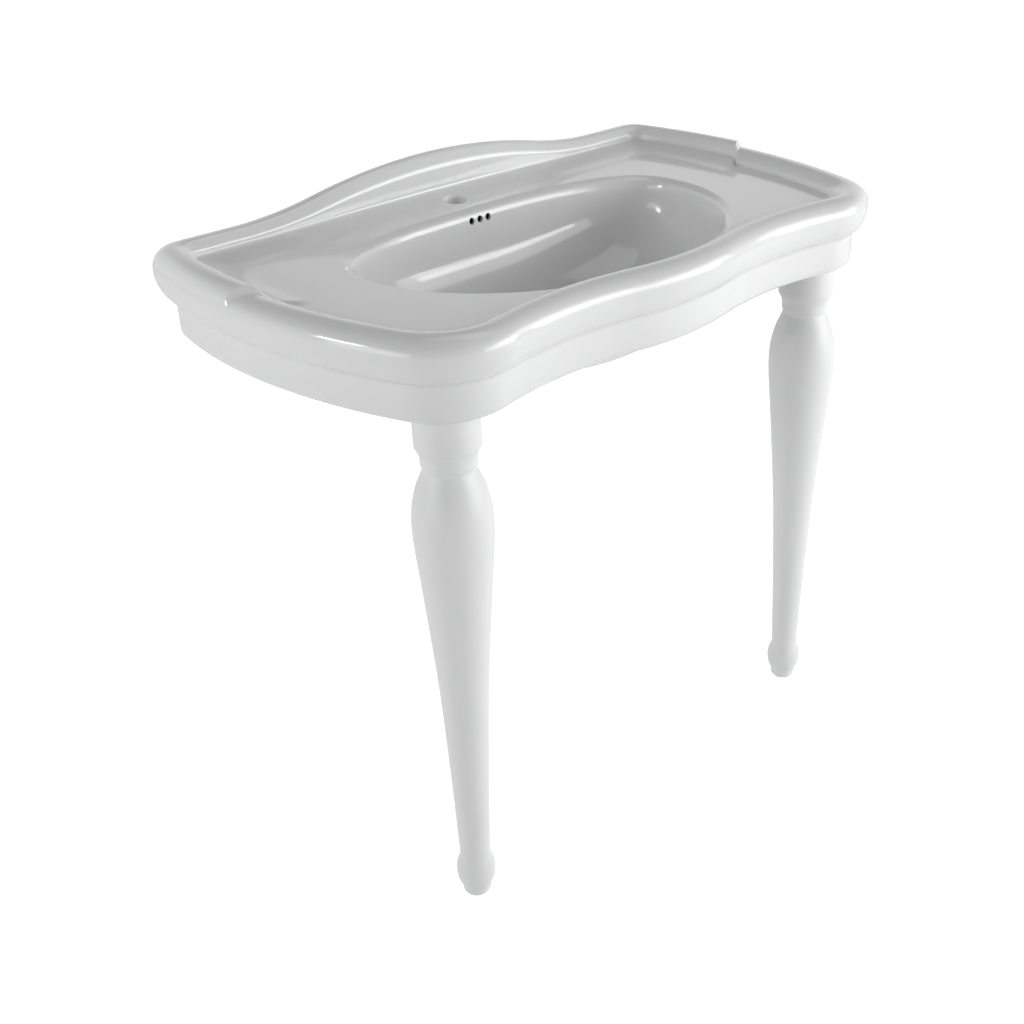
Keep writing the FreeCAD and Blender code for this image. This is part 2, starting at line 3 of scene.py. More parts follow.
import bmesh
import bpy
import mathutils
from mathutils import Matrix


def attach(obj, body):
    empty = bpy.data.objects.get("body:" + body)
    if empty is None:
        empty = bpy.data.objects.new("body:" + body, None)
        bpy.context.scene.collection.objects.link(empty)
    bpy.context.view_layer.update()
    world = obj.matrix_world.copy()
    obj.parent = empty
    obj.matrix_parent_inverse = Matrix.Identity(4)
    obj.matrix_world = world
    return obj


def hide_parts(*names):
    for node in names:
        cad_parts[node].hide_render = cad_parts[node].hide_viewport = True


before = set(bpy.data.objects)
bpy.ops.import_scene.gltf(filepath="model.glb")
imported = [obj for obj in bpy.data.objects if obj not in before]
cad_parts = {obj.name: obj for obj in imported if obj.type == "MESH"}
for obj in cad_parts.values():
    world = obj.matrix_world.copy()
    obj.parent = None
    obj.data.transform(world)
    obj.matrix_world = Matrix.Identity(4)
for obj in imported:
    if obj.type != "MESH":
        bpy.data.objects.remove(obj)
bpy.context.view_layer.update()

# ---------------------------------------------------------------------------
# Foot pads. Thin clear rubber discs stuck under the two feet, so that the
# glazed clay doesn't stand on the tiles. They keep their moulded shape.


class Wire:
    """An output in a material, so that sums of patterns read as plain sums."""

    def __init__(self, finish, socket):
        self.finish = finish
        self.socket = socket

    def maths(self, operation, first, second):
        return self.finish.node("ShaderNodeMath", {"operation": operation}, {0: first, 1: second})

    def __add__(self, other):
        return self.maths("ADD", self, other)

    def __radd__(self, other):
        return self.maths("ADD", other, self)

    def __sub__(self, other):
        return self.maths("SUBTRACT", self, other)

    def __rsub__(self, other):
        return self.maths("SUBTRACT", other, self)

    def __mul__(self, other):
        return self.maths("MULTIPLY", self, other)

    def __rmul__(self, other):
        return self.maths("MULTIPLY", other, self)

    def __gt__(self, other):
        return self.maths("GREATER_THAN", self, other)


class Finish:
    """One material, or the studio's sky, built node by node."""

    def __init__(self, name, store=bpy.data.materials):
        self.holder = store.new(name)
        self.holder.use_nodes = True
        self.tree = self.holder.node_tree
        self.tree.nodes.clear()

    def node(self, kind, settings=None, values=None, out=0):
        """A new node with its settings and inputs; gives the output asked for, if it has any."""
        made = self.tree.nodes.new(kind)
        for key, value in (settings or {}).items():
            setattr(made, key, value)
        for key, value in (values or {}).items():
            if isinstance(value, Wire):
                self.tree.links.new(value.socket, made.inputs[key])
            else:
                made.inputs[key].default_value = value
        return Wire(self, made.outputs[out]) if made.outputs else made

    def place(self):
        return self.node("ShaderNodeTexCoord", out="Object")

    def noise(self, scale, detail=2.0):
        return self.node("ShaderNodeTexNoise", None,
                         {"Vector": self.place(), "Scale": scale, "Detail": detail})

    def between(self, share, low, high):
        """A colour part of the way from low to high; 6 and 7 are the node's colour inputs."""
        return self.node("ShaderNodeMix", {"data_type": "RGBA"}, {0: share, 6: low, 7: high}, out=2)

    def bump(self, height, distance, strength):
        return self.node("ShaderNodeBump", None,
                         {"Height": height, "Distance": distance, "Strength": strength})

    def surface(self, **values):
        shader = self.node("ShaderNodeBsdfPrincipled", None,
                           {key.replace("_", " "): value for key, value in values.items()})
        self.node("ShaderNodeOutputMaterial", None, {"Surface": shader})

    def cover(self, piece):
        """Gives a piece this finish in place of what it had."""
        piece.data.materials.clear()
        piece.data.materials.append(self.holder)


pad = Finish("clear_pad_rubber")
pad_cloud = pad.noise(180.0, 3.0)
pad.surface(Base_Color=pad.between(pad_cloud, (0.66, 0.67, 0.66, 1), (0.76, 0.76, 0.75, 1)),
            Roughness=0.32 + 0.15 * pad_cloud,
            Normal=pad.bump(pad.noise(900.0), 0.0001, 0.3))
for node in ("left_foot_pad", "right_foot_pad"):
    pad.cover(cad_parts[node])

# ---------------------------------------------------------------------------
# Legs. Slip-cast glazed clay with a turned look: a small round foot, a bead,
# a long taper to a vase, a neck, a collar and a capital under the basin. The
# open top of each leg is the socket for its plug.

GLAZE_WHITE = (0.86, 0.862, 0.865, 1)
GLAZE_SHADE = (0.84, 0.842, 0.846, 1)

glaze = Finish("white_glaze")
glaze_cloud = glaze.noise(9.0, 3.0)
glaze_pool = glaze.noise(34.0, 2.0)
glaze_ripple = glaze.noise(14.0, 1.0) + 0.06 * glaze.noise(160.0, 2.0)
glaze.surface(Base_Color=glaze.between(glaze_cloud, GLAZE_SHADE, GLAZE_WHITE),
              Roughness=0.34 + 0.08 * glaze_pool,
              IOR=1.52,
              Coat_Weight=0.08,
              Coat_Roughness=0.2,
              Normal=glaze.bump(glaze_ripple, 0.0003, 0.12))

LEG_AXIS_X, LEG_AXIS_Y = 0.3657, -0.184  # metres
LEG_SIDES, LEG_RINGS = 96, 420
LEG_CURVE_STEPS = 12                     # points of the smooth curve between two outline points
LEG_WELD = 1e-6                          # metres
LEG_OUTLINE = [  # radius and height in millimetres, foot to capital, then down the socket
    (0.0, 1.5), (12.0, 1.5), (17.3, 1.5), (19.3, 2.4), (20.1, 4.4), (20.1, 8.5), (20.6, 11.7),
    (22.0, 15.5), (23.5, 19.3), (25.2, 23.1), (26.5, 27.5), (27.4, 33.5), (27.8, 40.0),
    (27.5, 47.0), (26.4, 53.3), (25.1, 57.2), (23.6, 61.2), (22.3, 65.6), (21.75, 71.0),
    (22.0, 84.0), (22.6, 100.0), (23.9, 140.0), (25.6, 185.0), (27.6, 235.0), (29.8, 288.0),
    (32.3, 336.0), (35.2, 382.0), (38.6, 428.0), (42.1, 471.0), (45.6, 513.0), (49.1, 553.0),
    (51.1, 577.0), (51.9, 598.0), (51.3, 617.0), (49.2, 633.5), (46.4, 645.6), (43.1, 656.6),
    (38.7, 667.3), (35.4, 675.2), (33.7, 680.4), (33.9, 683.8), (35.2, 686.2), (35.8, 688.0),
    (35.8, 692.0), (35.8, 697.6), (36.3, 699.8), (37.4, 702.6), (38.7, 706.0), (40.3, 708.6),
    (41.5, 711.0), (42.0, 714.5), (42.0, 720.0), (42.0, 745.0), (42.0, 766.0), (41.1, 769.1),
    (39.0, 770.0), (30.0, 770.0), (22.0, 770.0), (21.0, 769.0), (21.0, 760.0), (21.0, 720.0),
    (20.0, 715.2), (10.0, 715.0), (0.0, 715.0)]


def turned_leg_tree():
    """A leg as a lathe would cut it: its outline, as a smooth curve, spun about an upright axis."""
    tree = bpy.data.node_groups.new("turned_leg", "GeometryNodeTree")

    def step(kind, values=None, **settings):
        """One node, with its settings first and then its inputs; gives its outputs."""
        made = tree.nodes.new(kind)
        for key, value in settings.items():
            setattr(made, key, value)
        for key, value in (values or {}).items():
            if isinstance(value, bpy.types.NodeSocket):
                tree.links.new(value, made.inputs[key])
            else:
                made.inputs[key].default_value = value
        return made.outputs

    def maths(operation, *values):
        return step("ShaderNodeMath", dict(enumerate(values)), operation=operation)[0]

    for name, kind, value in (("Axis X", "NodeSocketFloat", 0.0),
                              ("Axis Y", "NodeSocketFloat", 0.0),
                              ("Sides", "NodeSocketInt", LEG_SIDES),
                              ("Rings", "NodeSocketInt", LEG_RINGS)):
        tree.interface.new_socket(name, in_out="INPUT", socket_type=kind).default_value = value
    tree.interface.new_socket("Geometry", in_out="OUTPUT", socket_type="NodeSocketGeometry")
    given = tree.nodes.new("NodeGroupInput").outputs

    pick = tree.nodes.new("GeometryNodeIndexSwitch")
    pick.data_type = "VECTOR"
    while len(pick.index_switch_items) < len(LEG_OUTLINE):
        pick.index_switch_items.new()
    tree.links.new(step("GeometryNodeInputIndex")[0], pick.inputs["Index"])
    for number, (radius, height) in enumerate(LEG_OUTLINE):
        pick.inputs[1 + number].default_value = (radius / 1000, 0, height / 1000)

    line = step("GeometryNodeCurvePrimitiveLine")
    knots = step("GeometryNodeResampleCurve", {"Curve": line[0], "Count": len(LEG_OUTLINE)})
    outline = step("GeometryNodeSetPosition", {"Geometry": knots[0], "Position": pick.outputs[0]})
    smooth = step("GeometryNodeCurveSplineType", {"Curve": outline[0]}, spline_type="CATMULL_ROM")
    fine = step("GeometryNodeSetSplineResolution", {0: smooth[0], "Resolution": LEG_CURVE_STEPS})

    sheet = step("GeometryNodeMeshGrid", {"Size X": 1.0, "Size Y": 1.0,
                                          "Vertices X": maths("ADD", given["Sides"], 1.0),
                                          "Vertices Y": given["Rings"]})
    spot = step("ShaderNodeSeparateXYZ", {0: step("GeometryNodeInputPosition")[0]})
    turn = maths("MULTIPLY", spot[0], 2 * math.pi)
    along = maths("ADD", spot[1], 0.5)
    sample = step("GeometryNodeSampleCurve", {"Curves": fine[0], "Factor": along},
                  mode="FACTOR", use_all_curves=True)
    profile = step("ShaderNodeSeparateXYZ", {0: sample["Position"]})
    x = maths("MULTIPLY_ADD", profile[0], maths("COSINE", turn), given["Axis X"])
    y = maths("MULTIPLY_ADD", profile[0], maths("SINE", turn), given["Axis Y"])
    point = step("ShaderNodeCombineXYZ", {0: x, 1: y, 2: profile[2]})
    spun = step("GeometryNodeSetPosition", {"Geometry": sheet[0], "Position": point[0]})
    closed = step("GeometryNodeMergeByDistance", {"Geometry": spun[0], "Distance": LEG_WELD})
    shaded = step("GeometryNodeSetShadeSmooth", {"Geometry": closed[0]})
    glazed = step("GeometryNodeSetMaterial", {"Geometry": shaded[0], "Material": glaze.holder})
    step("NodeGroupOutput", {0: glazed[0]})
    return tree


def in_scene(name, data):
    """An object of its own in the scene."""
    made = bpy.data.objects.new(name, data)
    bpy.context.scene.collection.objects.link(made)
    return made


def weld(mesh, distance):
    """Joins points that lie together and turns all faces outwards."""
    shell = bmesh.new()
    shell.from_mesh(mesh)
    bmesh.ops.remove_doubles(shell, verts=shell.verts, dist=distance)
    bmesh.ops.recalc_face_normals(shell, faces=shell.faces)
    shell.to_mesh(mesh)
    shell.free()


def made_real(piece, name):
    """The evaluated piece as a plain closed mesh of its own, with its faces outwards."""
    bpy.context.view_layer.update()
    seen_piece = piece.evaluated_get(bpy.context.evaluated_depsgraph_get())
    mesh = bpy.data.meshes.new_from_object(seen_piece)
    bpy.data.objects.remove(piece)
    weld(mesh, 1e-7)
    mesh.name = name
    return in_scene(name, mesh)


leg_tree = turned_leg_tree()
input_of = {item.name: item.identifier for item in leg_tree.interface.items_tree
            if item.in_out == "INPUT"}
for side, node in ((-1, "left_leg"), (1, "right_leg")):
    blank = in_scene(node + "_blank", bpy.data.meshes.new(node + "_blank"))
    lathe = blank.modifiers.new("lathe", "NODES")
    lathe.node_group = leg_tree
    lathe[input_of["Axis X"]] = side * LEG_AXIS_X
    lathe[input_of["Axis Y"]] = LEG_AXIS_Y
    leg = made_real(blank, node + "_glazed")
    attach(leg, "root")
    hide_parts(node)

# ---------------------------------------------------------------------------
# Leg fixings. A nylon plug pressed into each leg's socket holds a steel stud
# with a flanged nut below it. The stud passes up through the basin's ledge,
# where two washers and a nut pull leg and basin together.

nylon = Finish("grey_nylon")
nylon_grain = nylon.noise(420.0, 4.0)
nylon.surface(Base_Color=nylon.between(nylon_grain, (0.27, 0.28, 0.30, 1), (0.36, 0.37, 0.39, 1)),
              Roughness=0.42 + 0.16 * nylon_grain,
              Normal=nylon.bump(nylon_grain, 0.0001, 0.4))

zinc = Finish("zinc_plated_steel")
zinc_spangle = zinc.noise(260.0, 3.0)
zinc_wear = zinc.noise(60.0, 2.0)
zinc.surface(Base_Color=zinc.between(zinc_spangle, (0.55, 0.56, 0.58, 1), (0.68, 0.69, 0.70, 1)),
             Metallic=1.0,
             Roughness=0.24 + 0.22 * zinc_wear,
             Normal=zinc.bump(zinc_spangle, 0.00008, 0.4))

rubber = Finish("black_rubber")
rubber_grain = rubber.noise(600.0, 3.0)
rubber.surface(Base_Color=rubber.between(rubber_grain,
                                         (0.022, 0.022, 0.023, 1), (0.045, 0.045, 0.046, 1)),
               Roughness=0.62 + 0.2 * rubber_grain,
               Normal=rubber.bump(rubber_grain, 0.0001, 0.5))

FIXING_FINISH = {"leg_anchor_plugs": nylon, "leg_studs": zinc, "anchor_nuts": zinc,
                 "ledge_steel_washers": zinc, "ledge_nuts": zinc, "ledge_rubber_washers": rubber,
                 "left_leg_gasket": rubber, "right_leg_gasket": rubber}
for node, finish in FIXING_FINISH.items():
    finish.cover(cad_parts[node])

# ---------------------------------------------------------------------------
# Basin. One glazed fireclay casting: skirt, rolled rim, raised gallery with a
# humped back, and an oval bowl with its outlet in the floor. Two bolts hold
# it on the wall, and ledges inside its front corners rest on the legs.

# It is drawn as rings that run once round the plan, from under the bowl out,
# over the rim and down into the bowl. Sizes are in millimetres; those that
# end in IN are measured inwards from the widest outline.

# the plan: a long side, a front corner, a valley and the middle bulge
WALL = 279.0
SIDE_X, SIDE_Y, SIDE_R = -262.0, 57.0, 762.0
HALF_WIDTH = SIDE_X + SIDE_R
CORNER_R, CORNER_Y = 114.0, -160.4
CORNER_X = SIDE_X + math.sqrt((SIDE_R - CORNER_R) ** 2 - (CORNER_Y - SIDE_Y) ** 2)
BULGE_R = 447.0
BULGE_Y = BULGE_R - WALL
VALLEY_R = 521.0
# heights
SKIRT_LOW, SKIRT_HIGH = 763.0, 816.0
WIDEST_Z, LOW_RIM, HIGH_RIM = 855.2, 876.6, 886.0
DECK, UNDER_DECK = 856.4, 842.4
# the corners at the wall, in plan: they tighten over the rim and widen under the roll
BACK_ROUND, BACK_ROUND_LEAST = 40.0, 24.0
RIM_TIGHTENS, ROLL_WIDENS, COVE_WIDENS = 0.6, 2.4, 1.3      # by each millimetre of inset
OUTER_ROUND, INNER_ROUND, UNDER_ROUND = BACK_ROUND + 28.0, BACK_ROUND + 12.0, BACK_ROUND - 18.0
# the skirt, and the cove between it and the roll
SKIRT_IN, SKIRT_WALL, SKIRT_EDGE, SKIRT_EDGE_STEPS = 20.5, 17.0, 12.0, 4
SKIRT_ROWS, INNER_ROWS = (785.0, 800.0), (820.0, 795.0)
INNER_EDGE = ((0.0, 3.0, 0.0), (0.9, 0.9, 1.0), (3.0, 0.0, 3.0))  # outwards, up, wider corner
EDGE_OFF_WALL, UNDER_FILLET = 0.6, 3.0
COVE = ((20.5, 809.1), (20.32, 810.9), (19.8, 812.6), (18.9, 814.2), (17.8, 815.6),
        (16.6, 816.6), (15.4, 817.3))  # inset and height
# the rim: its crest, its foot on the deck and the hollow sweep down from the gallery's foot
CREST_IN, LOW_FOOT_IN, HIGH_FOOT_IN = 27.0, 53.0, 49.0
LOW_FACE = ((0, 0), (14.3, 0), (26.0, 11.1), (26.0, 18.6))  # inwards and down from the crest
BEND_IN, BEND_DOWN, BEND_LOWER, FACE_END_IN = 15.5, 10.0, 4.0, HIGH_FOOT_IN - 4.4 - CREST_IN
FOOT_FILLET, GALLERY_FILLET, HUMP_FILLET = 1.6, 2.4, 5.0    # each adds to the one before
SWEEP_END_IN, SWEEP_RISE = 105.0, 8.6
SWEEP_MITRE, SWEEP_MITRE_CUT = 17.0, 4.7                    # its rounded line in the rear corner
SWEEP_SOFT, SWEEP_SPREAD = 3.0, 0.16                        # how it fades out at the notch
HUMP_RISE, HUMP_HALF, HUMP_TOP_SHARE = 36.5, 347.0, 0.61
ROLL_RINGS, FACE_RINGS, FOOT_RINGS = 12, 20, 5
UNDER_ROLL_RINGS, UNDER_ROLL_FIRST = 14, 3
DECK_SHARES = [k / 20 for k in range(1, 20)] + [0.975, 0.99, 0.997]
# the notch, where the raised side ends
NOTCH_WIDEST_Y, NOTCH_SLANT, NOTCH_RUN = 54.0, 0.5, 6.0
NOTCH_STEPS = (-12.0, -8.0, -5.0, -3.4, -3.0, -1.5, 0.0, 1.5, 3.0, 3.4, 5.0, 8.0, 12.0)
COLUMN_COUNTS = {"back": 46, "back corner": 18, "rear side": 26, "fore side": 34,
                 "front corner": 24, "valley": 26, "bulge": 16}
# the bowl: its lip, its floor and the shape of its section
BOWL_Y, BOWL_HALF, BOWL_FRONT, BOWL_BACK = 28.0, 312.7, 252.0, 135.0
BOWL_LIP = (BOWL_HALF, BOWL_FRONT, BOWL_BACK)
FRONT_POWER, BACK_POWER = 2.0, 2.65                         # 2 is an ellipse, more is squarer
FLOOR_Y, FLOOR_HALF, FLOOR_DEEP, BOWL_DEPTH = -27.0, 96.0, 62.0, 154.0
FLOOR_Z = DECK - BOWL_DEPTH
WALL_POWER, FALL_POWER = 1.25, 0.909                        # how its wall closes in and falls
LIP_IN, LIP_DOWN = 15.4, 21.0
LIP_PROFILE = (  # inwards and down: a gentle turn, a slope, a crisp bend and a steep wall
    (0.0, 0.0), (1.0, 0.12), (2.4, 0.5), (4.2, 1.25), (6.4, 2.35), (8.6, 3.5), (10.2, 4.4),
    (11.1, 5.2), (11.9, 6.5), (13.0, 9.0), (13.95, 12.0), (14.7, 15.2), (15.2, 18.2))
BOWL_WALL, BOWL_WALL_FLARE, FLARE_DOWN = 13.0, 16.5, 4.0
BOWL_RINGS, BOWL_UNDER_RINGS = 34, 22
# the outlet in the floor, with a boss round it below
OUTLET_Y, OUTLET_R = -20.0, 23.0
OUTLET_EDGE = ((3.0, 0.0), (0.9, 0.9), (0.0, 3.0), (0.0, 12.0))  # wider, and below the floor
BOSS_R, BOSS_LONG, BOSS_EDGE = 34.0, 24.0, 1.5
BOSS_TOP, BOSS_FILLET, BOSS_FILLET_UP = 15.0, 2.0, 1.8           # it ends this far below the floor


def valley_middle():
    """The valley's centre: its arc touches the corner's arc and the middle bulge's arc."""
    reach_bulge, reach_corner = BULGE_R + VALLEY_R, CORNER_R + VALLEY_R
    dx, dy = CORNER_X, CORNER_Y - BULGE_Y
    apart = math.hypot(dx, dy)
    along = (reach_bulge ** 2 - reach_corner ** 2 + apart ** 2) / (2 * apart)
    aside = math.sqrt(reach_bulge ** 2 - along ** 2)
    return (dx * along + dy * aside) / apart, BULGE_Y + (dy * along - dx * aside) / apart


VALLEY_X, VALLEY_Y = valley_middle()
SIDE_END = math.atan2(CORNER_Y - SIDE_Y, CORNER_X - SIDE_X)
CORNER_END = math.atan2(VALLEY_Y - CORNER_Y, VALLEY_X - CORNER_X)
VALLEY_END = math.atan2(BULGE_Y - VALLEY_Y, -VALLEY_X)


def columns():
    """Where each upright line of the basin stands: a stretch of the plan and a share of it."""
    half = []
    for place, count in COLUMN_COUNTS.items():
        first = 1 if place == "fore side" else 0  # the notch's last step stands for its start
        half += [(place, k / count) for k in range(first, count)]
        if place == "rear side":
            half += [("notch", step) for step in NOTCH_STEPS]
    right = [(1, place, share) for place, share in half] + [(1, "bulge", 1.0)]
    left = [(-1, place, share) for place, share in reversed(half)]
    return right + left[:-1]


COLUMNS = columns()


def part_way(start, end, share):
    return start + (end - start) * share


def on_arc(middle_x, middle_y, radius, angle):
    return middle_x + radius * math.cos(angle), middle_y + radius * math.sin(angle)


def notch_end(x):
    """The line across the rim where the raised side ends: y, at a distance from the middle."""
    return NOTCH_WIDEST_Y + NOTCH_SLANT * (x - HALF_WIDTH)


def notch_angle(inset):
    """Where the raised side ends on the side arc drawn inwards by an inset."""
    radius = SIDE_R - inset
    angle = 0.0
    for _ in range(4):
        x = SIDE_X + radius * math.cos(angle)
        angle = math.asin((notch_end(x) - SIDE_Y) / radius)
    return angle


def plan_point(column, inset, back_inset, back_corner):
    """A column's point on the plan drawn inwards by an inset, or by its own one at the wall."""
    flip, place, share = column
    radius = SIDE_R - inset
    low_y = WALL - back_inset - back_corner
    centre_x = SIDE_X + math.sqrt((radius - back_corner) ** 2 - (low_y - SIDE_Y) ** 2)
    meet = math.atan2(low_y - SIDE_Y, centre_x - SIDE_X)
    notch = notch_angle(inset)
    margin = NOTCH_STEPS[-1] / radius
    if place == "back":
        x, y = centre_x * share, WALL - back_inset
    elif place == "back corner":
        angle = part_way(math.pi / 2, meet, share)
        x, y = on_arc(centre_x, low_y, back_corner, angle)
    elif place in ("rear side", "notch", "fore side"):
        if place == "rear side":
            angle = part_way(meet, notch + margin, share)
        elif place == "notch":
            angle = notch - share / radius
        else:
            angle = part_way(notch - margin, SIDE_END, share)
        x, y = on_arc(SIDE_X, SIDE_Y, radius, angle)
    elif place == "front corner":
        angle = part_way(SIDE_END, CORNER_END, share)
        x, y = on_arc(CORNER_X, CORNER_Y, CORNER_R - inset, angle)
    elif place == "valley":
        angle = part_way(CORNER_END + math.pi, VALLEY_END, share)
        x, y = on_arc(VALLEY_X, VALLEY_Y, VALLEY_R + inset, angle)
    else:
        angle = part_way(VALLEY_END - math.pi, -math.pi / 2, share)
        x, y = on_arc(0.0, BULGE_Y, BULGE_R - inset, angle)
    return flip * x, y


def eased(share):
    share = min(1.0, max(0.0, share))
    return share * share * (3 - 2 * share)


def hump_rise(x):
    """The gallery's rise above its straight roll: a round top that flows out at both ends."""
    slope = 2 * math.atan(HUMP_RISE / HUMP_HALF)
    radii = HUMP_HALF / math.sin(slope)
    top, foot = HUMP_TOP_SHARE * radii, (1 - HUMP_TOP_SHARE) * radii
    x = abs(x)
    if x < top * math.sin(slope):
        return HUMP_RISE - (top - math.sqrt(top ** 2 - x ** 2))
    if x < HUMP_HALF:
        return foot - math.sqrt(foot ** 2 - (HUMP_HALF - x) ** 2)
    return 0.0


def raised(column):
    """1 where the rim is the raised gallery, 0 where it is the low roll."""
    place, share = column[1], column[2]
    if place in ("back", "back corner", "rear side"):
        return 1.0
    if place == "notch":
        return min(1.0, max(0.0, 0.5 - share / NOTCH_RUN))
    return 0.0


def sweep_rise(x, y):
    """The hollow sweep from the gallery's foot down to the deck."""
    side = SIDE_R - math.hypot(abs(x) - SIDE_X, y - SIDE_Y)
    back = WALL - y
    near = max(SWEEP_MITRE - abs(side - back), 0.0) / SWEEP_MITRE
    inset = max(min(side, back) - near * near * SWEEP_MITRE_CUT, HIGH_FOOT_IN)
    if inset >= SWEEP_END_IN:
        return 0.0
    run = inset - HIGH_FOOT_IN
    soft = SWEEP_SOFT + SWEEP_SPREAD * run
    fade = eased(0.5 + (y - notch_end(abs(x))) / (2 * soft))
    return SWEEP_RISE * (1 - run / (SWEEP_END_IN - HIGH_FOOT_IN)) ** 2 * fade


def deck_height(offset):
    """Gives the deck's height at a place, raised by an offset."""
    return lambda x, y: DECK + sweep_rise(x, y) + offset


def back_corner_round(inset):
    """The plan's corner radius at the wall, a little tighter further in."""
    return max(BACK_ROUND - RIM_TIGHTENS * inset, BACK_ROUND_LEAST)


def bezier(share, knots):
    """A point of a cubic curve."""
    weights = ((1 - share) ** 3, 3 * share * (1 - share) ** 2, 3 * share ** 2 * (1 - share),
               share ** 3)
    return tuple(sum(w * k[axis] for w, k in zip(weights, knots)) for axis in (0, 1))


def foot_fillet(up, rise):
    """The radius between the rim's face and the deck."""
    return FOOT_FILLET + (GALLERY_FILLET + HUMP_FILLET * rise / HUMP_RISE) * up


def rim_face(share, up, rise, height):
    """Inwards and down from the crest: a roll, then on the gallery a steep face below a crisp bend.

    up is 1 on the gallery and 0 on the low roll. The bend lies lower where the hump is high."""
    hump = rise / HUMP_RISE
    bend_in, bend_down = BEND_IN, BEND_DOWN + BEND_LOWER * hump
    end_in, end_down = FACE_END_IN + hump, height - foot_fillet(1.0, rise)
    # the points between crest, bend and end only lead the curve; they set how it leaves each
    if share < 0.5:
        high = bezier(share * 2, ((0, 0), (8.0, 0), (bend_in - 6.3, bend_down - 9.0),
                                  (bend_in, bend_down)))
    else:
        lead = 0.4 + 0.6 * hump
        last = end_down - (0.35 + 0.1 * hump) * (end_down - bend_down)
        high = bezier(share * 2 - 1, ((bend_in, bend_down),
                                      (bend_in + 4.6 * lead, bend_down + 6.6 * lead),
                                      (end_in - 0.4, last), (end_in, end_down)))
    return tuple(part_way(a, b, up) for a, b in zip(bezier(share, LOW_FACE), high))


def rim_ring(kind, share):
    """A ring of the rolled rim: its roll outside, its face inside, or its foot."""
    ring = []
    for column in COLUMNS:
        up = raised(column)
        crest_x = plan_point(column, CREST_IN, CREST_IN, back_corner_round(CREST_IN))[0]
        rise = hump_rise(crest_x) if column[1] == "back" else 0.0
        crest = part_way(LOW_RIM, HIGH_RIM, up) + rise
        face_height = crest - DECK - SWEEP_RISE
        turn, fillet = share * math.pi / 2, foot_fillet(up, rise)
        if kind == "roll":
            inset = CREST_IN * (1 - math.cos(turn))
            z = WIDEST_Z + rise + (crest - WIDEST_Z - rise) * math.sin(turn)
        elif kind == "face":
            inward, down = rim_face(share, up, rise, face_height)
            inset, z = CREST_IN + inward, crest - down
        else:
            inset = rim_face(1.0, up, rise, face_height)[0] + CREST_IN
            inset += fillet * (1 - math.cos(turn))
        x, y = plan_point(column, inset, inset, back_corner_round(inset))
        if kind == "foot":
            z = DECK + sweep_rise(x, y) + fillet * (1 - math.sin(turn))
        ring.append((x, y, z))
    return ring


def wall_ring(inset, height, back_inset, back_corner):
    """A ring of the skirt or of the roll's underside, at one height."""
    return [plan_point(column, inset, back_inset, back_corner) + (height,) for column in COLUMNS]


def bowl_turns():
    """Each column's place round the bowl's lip, from its bearing about the bowl's middle."""
    turns = []
    for column in COLUMNS:
        x, y = plan_point(column, LOW_FOOT_IN, LOW_FOOT_IN, back_corner_round(LOW_FOOT_IN))
        y -= BOWL_Y
        reach, power = (BOWL_FRONT, FRONT_POWER) if y < 0 else (BOWL_BACK, BACK_POWER)
        lean = math.atan2((abs(y) / reach) ** (power / 2), (abs(x) / BOWL_HALF) ** (power / 2))
        turns.append((math.copysign(1, x), math.copysign(1, y), lean, power))
    return turns


TURNS = bowl_turns()


def oval_ring(half, front, back, middle_y, height, round_off=0.0):
    """An oval round the bowl; round_off makes it a plain ellipse again."""
    ring = []
    for flip_x, flip_y, lean, power in TURNS:
        bend = 2 / part_way(power, 2.0, round_off)
        reach = front if flip_y < 0 else back
        ring.append((flip_x * half * math.cos(lean) ** bend,
                     middle_y + flip_y * reach * math.sin(lean) ** bend, height))
    return ring


def bowl_section(turn, grow):
    """The oval of the bowl, grown by a wall, at a turn of its section: 0 is its upright wall."""
    full = max(math.cos(turn), 0.0) ** WALL_POWER
    fall = math.sin(turn) ** FALL_POWER
    reaches = [part_way(floor + grow / 2, lip - LIP_IN + grow, full)
               for floor, lip in zip((FLOOR_HALF, FLOOR_DEEP, FLOOR_DEEP), BOWL_LIP)]
    height = DECK - LIP_DOWN - (BOWL_DEPTH + grow - LIP_DOWN) * fall
    return *reaches, part_way(FLOOR_Y, BOWL_Y, full), height, 1 - full


def bowl_rings(grow, low_turn, high_turn, count):
    """Rings of the bowl between two turns of its section, in degrees."""
    turns = [part_way(low_turn, high_turn, step / count) for step in range(count + 1)]
    return [oval_ring(*bowl_section(math.radians(turn), grow)) for turn in turns]


def outlet_ring(radius, height):
    return oval_ring(radius, radius, radius, OUTLET_Y, height, 1.0)


def height_at(height, x, y):
    """A height that is a number, or that is worked out for a place on the plan."""
    return height(x, y) if callable(height) else height


def between_rings(outer, inner, shares, height):
    """Rings stepped from one ring to another."""
    rings = []
    for share in shares:
        ring = []
        for a, b in zip(outer, inner):
            x, y = part_way(a[0], b[0], share), part_way(a[1], b[1], share)
            ring.append((x, y, height_at(height, x, y)))
        rings.append(ring)
    return rings


